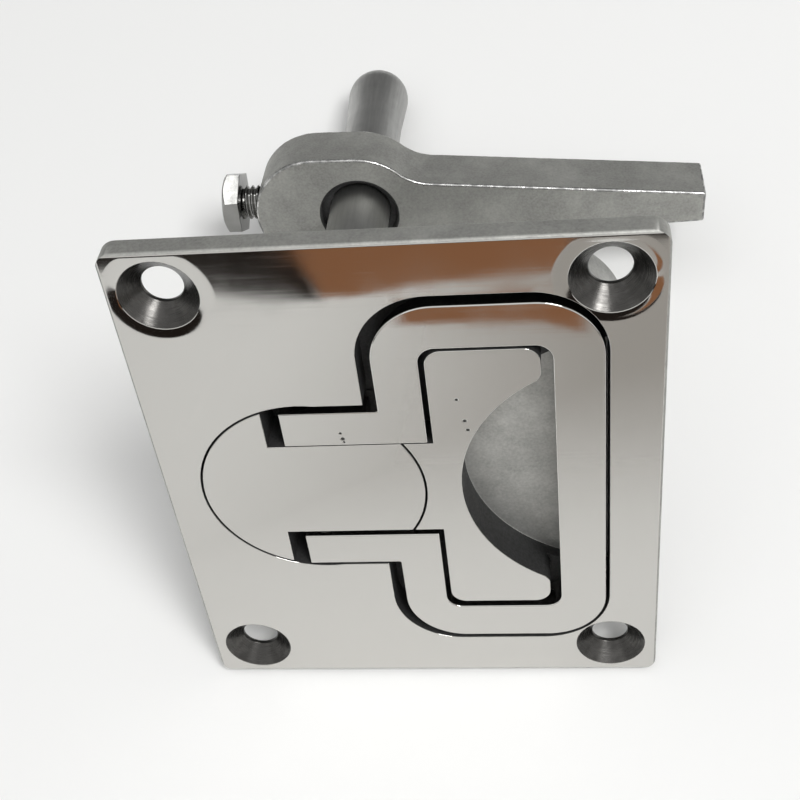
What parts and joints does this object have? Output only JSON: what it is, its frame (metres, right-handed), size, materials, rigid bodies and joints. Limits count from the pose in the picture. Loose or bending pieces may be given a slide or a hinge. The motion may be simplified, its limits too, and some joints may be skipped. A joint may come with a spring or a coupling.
{
  "type": "twist lock lift handle",
  "caption": "Flush twist lock lift handle for a hatch: polished face plate with a recessed stirrup handle, a turning rotor, a long shaft and a clamped lock cam",
  "frame": {"origin": "centre of the flange on its seat, which is the plane that lies on the hatch", "axes": "+Z out of the polished face, +X from the rotor to the grip, +Y along the grip"},
  "size_m": [0.0833, 0.081, 0.1115],
  "materials": {
    "polished_casting": "mirror polished stainless casting",
    "satin_steel": "satin drawn stainless bar",
    "cast_steel": "blasted stainless casting",
    "bright_steel": "bright stainless",
    "bearing_plastic": "natural acetal",
    "seal_rubber": "moulded nitrile"
  },
  "bodies": {
    "plate": {"faceplate": "polished_casting", "thrust_washer": "bearing_plastic", "shaft_seal": "seal_rubber", "shaft_bush": "bearing_plastic"},
    "rotor": {"rotor": "polished_casting", "pivot_pin": "bright_steel", "lock_shaft": "satin_steel", "shaft_pin": "bright_steel", "upper_washer": "bright_steel", "wave_washer": "bright_steel", "lower_washer": "bright_steel", "retaining_ring": "bright_steel"},
    "handle": {"lift_handle": "polished_casting"},
    "cam": {"lock_cam": "cast_steel"},
    "bolt": {"set_bolt": "bright_steel"}
  },
  "joints": [
    {"name": "rotor_twist", "type": "hinge", "parent": "plate", "child": "rotor", "pos_m": [-0.0131, 0, 0], "axis": [0, 0, 1], "range_deg": [-0.25, 1]},
    {"name": "handle_lift", "type": "hinge", "parent": "rotor", "child": "handle", "pos_m": [-0.0131, 0, 0.00075], "axis": [0, -1, 0], "range_deg": [0, 90]},
    {"name": "cam_swing", "type": "hinge", "parent": "rotor", "child": "cam", "pos_m": [-0.0131, 0, -0.068], "axis": [0, 0, 1], "continuous": true},
    {"name": "bolt_back_off", "type": "slide", "parent": "cam", "child": "bolt", "axis": [-0.9996, 0.0297, 0], "range_m": [0, 0.006]}
  ]
}
